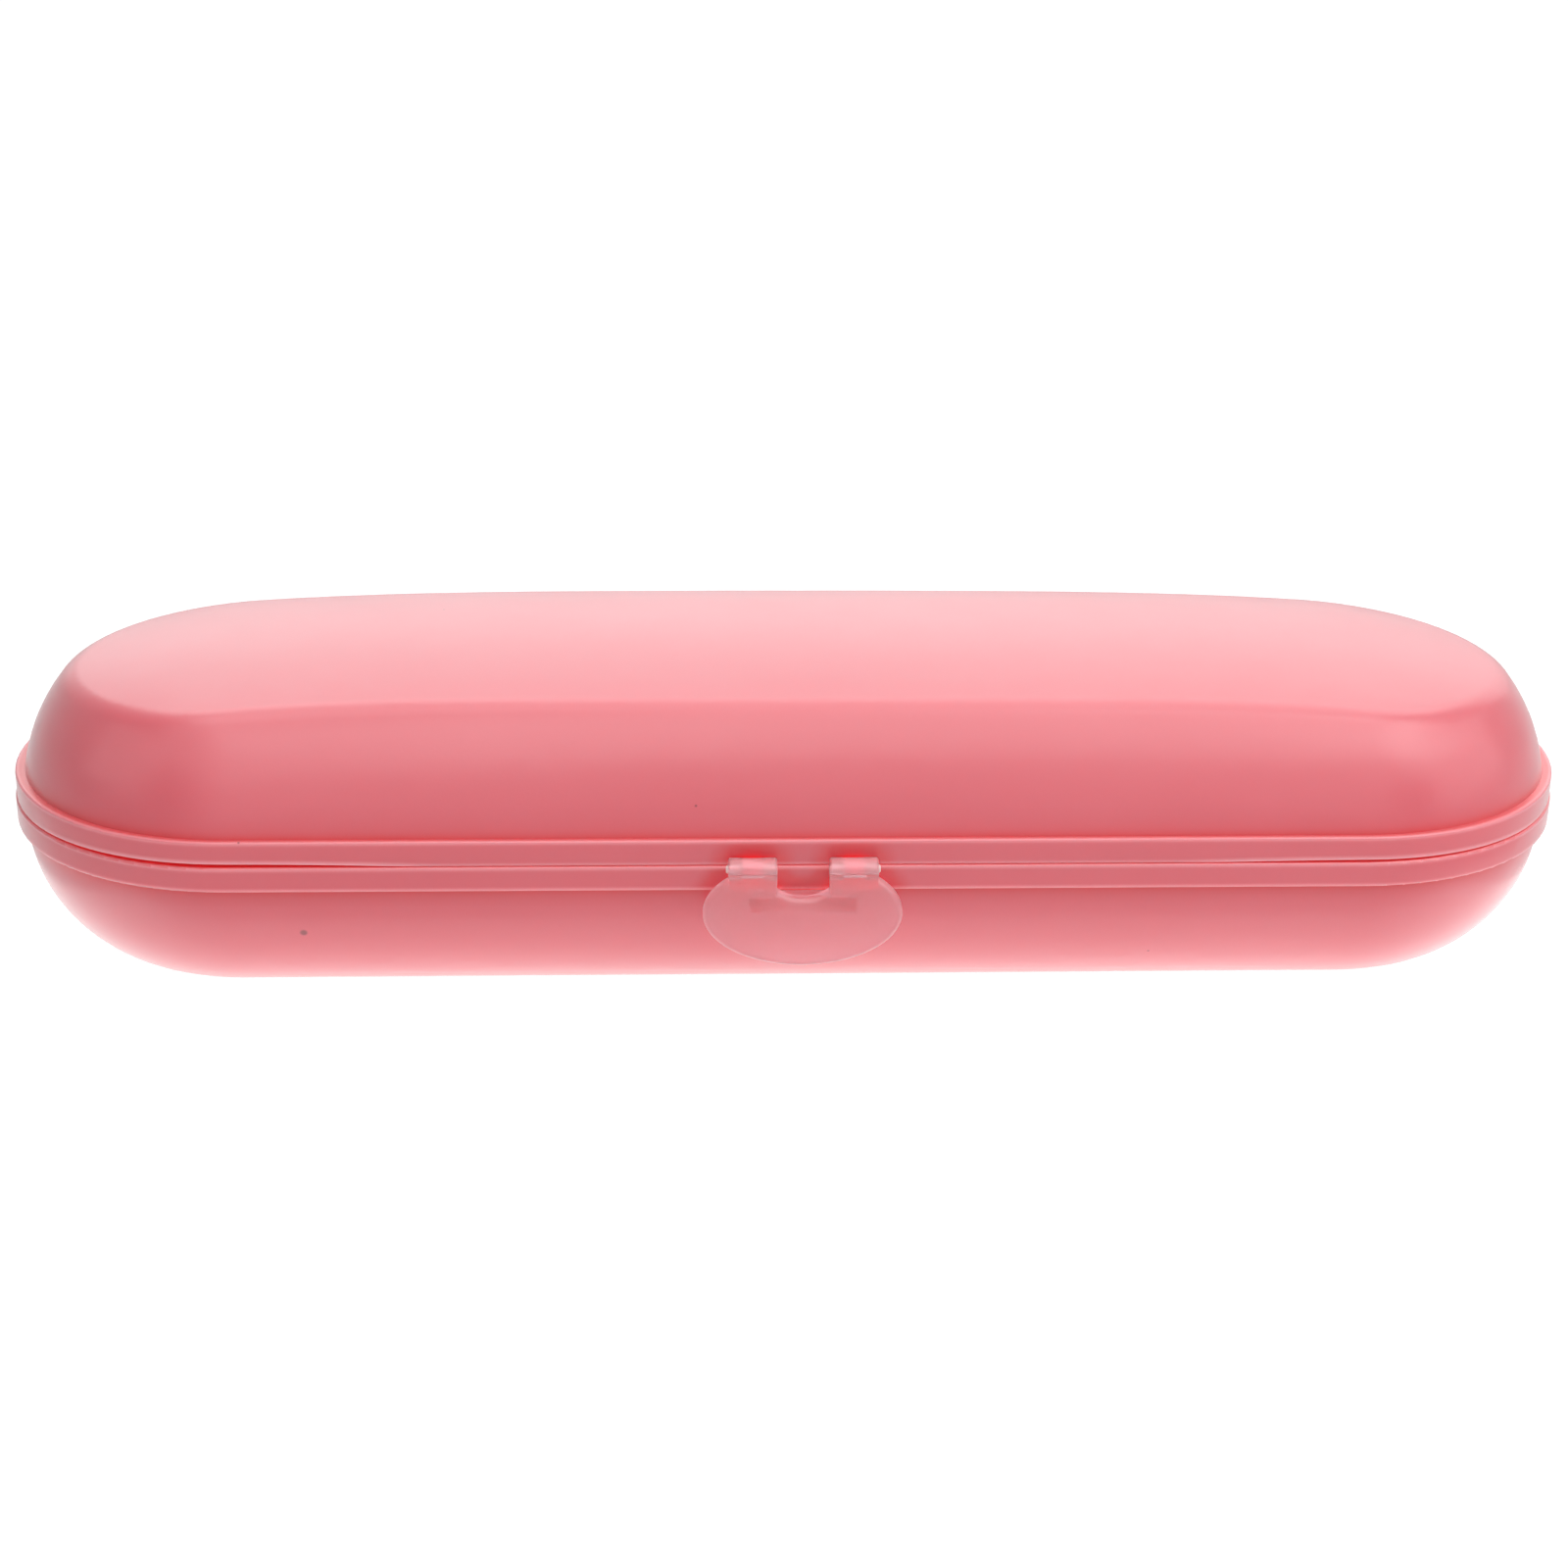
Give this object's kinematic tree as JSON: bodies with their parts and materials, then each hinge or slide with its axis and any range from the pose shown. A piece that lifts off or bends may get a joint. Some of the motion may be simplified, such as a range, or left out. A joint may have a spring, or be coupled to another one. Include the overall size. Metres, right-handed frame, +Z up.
{
  "type": "electric toothbrush travel case",
  "caption": "Capsule-shaped hinged travel case for an electric toothbrush: crowned lid, bulged base, front latch clip and inner cradles.",
  "frame": {"origin": "on the resting face, under the middle of the case", "axes": "+X along the case, -Y towards the latch clip, +Z up through the lid"},
  "size_m": [0.215, 0.0714, 0.0434],
  "materials": {
    "pink_shell": "satin moulded polypropylene",
    "pink_cradle": "satin moulded polypropylene",
    "frosted_clip": "frosted translucent polypropylene",
    "natural_pin": "natural acetal rod",
    "steel_pin": "drawn stainless wire"
  },
  "bodies": {
    "base": {"base_shell": "pink_shell", "hinge_pin_left": "steel_pin", "hinge_pin_right": "steel_pin", "cradle_left": "pink_cradle", "cradle_middle": "pink_cradle", "cradle_right": "pink_cradle"},
    "lid": {"lid_shell": "pink_shell", "latch_pin_left": "natural_pin", "latch_pin_right": "natural_pin"},
    "latch": {"latch_clip": "frosted_clip"}
  },
  "joints": [
    {"name": "lid_hinge", "type": "hinge", "parent": "base", "child": "lid", "pos_m": [0, 0.0339, 0.0225], "axis": [-1, 0, 0], "range_deg": [0, 180]},
    {"name": "latch_pivot", "type": "hinge", "parent": "lid", "child": "latch", "pos_m": [0, -0.0342, 0.02285], "axis": [-1, 0, 0], "range_deg": [0, 60]}
  ]
}
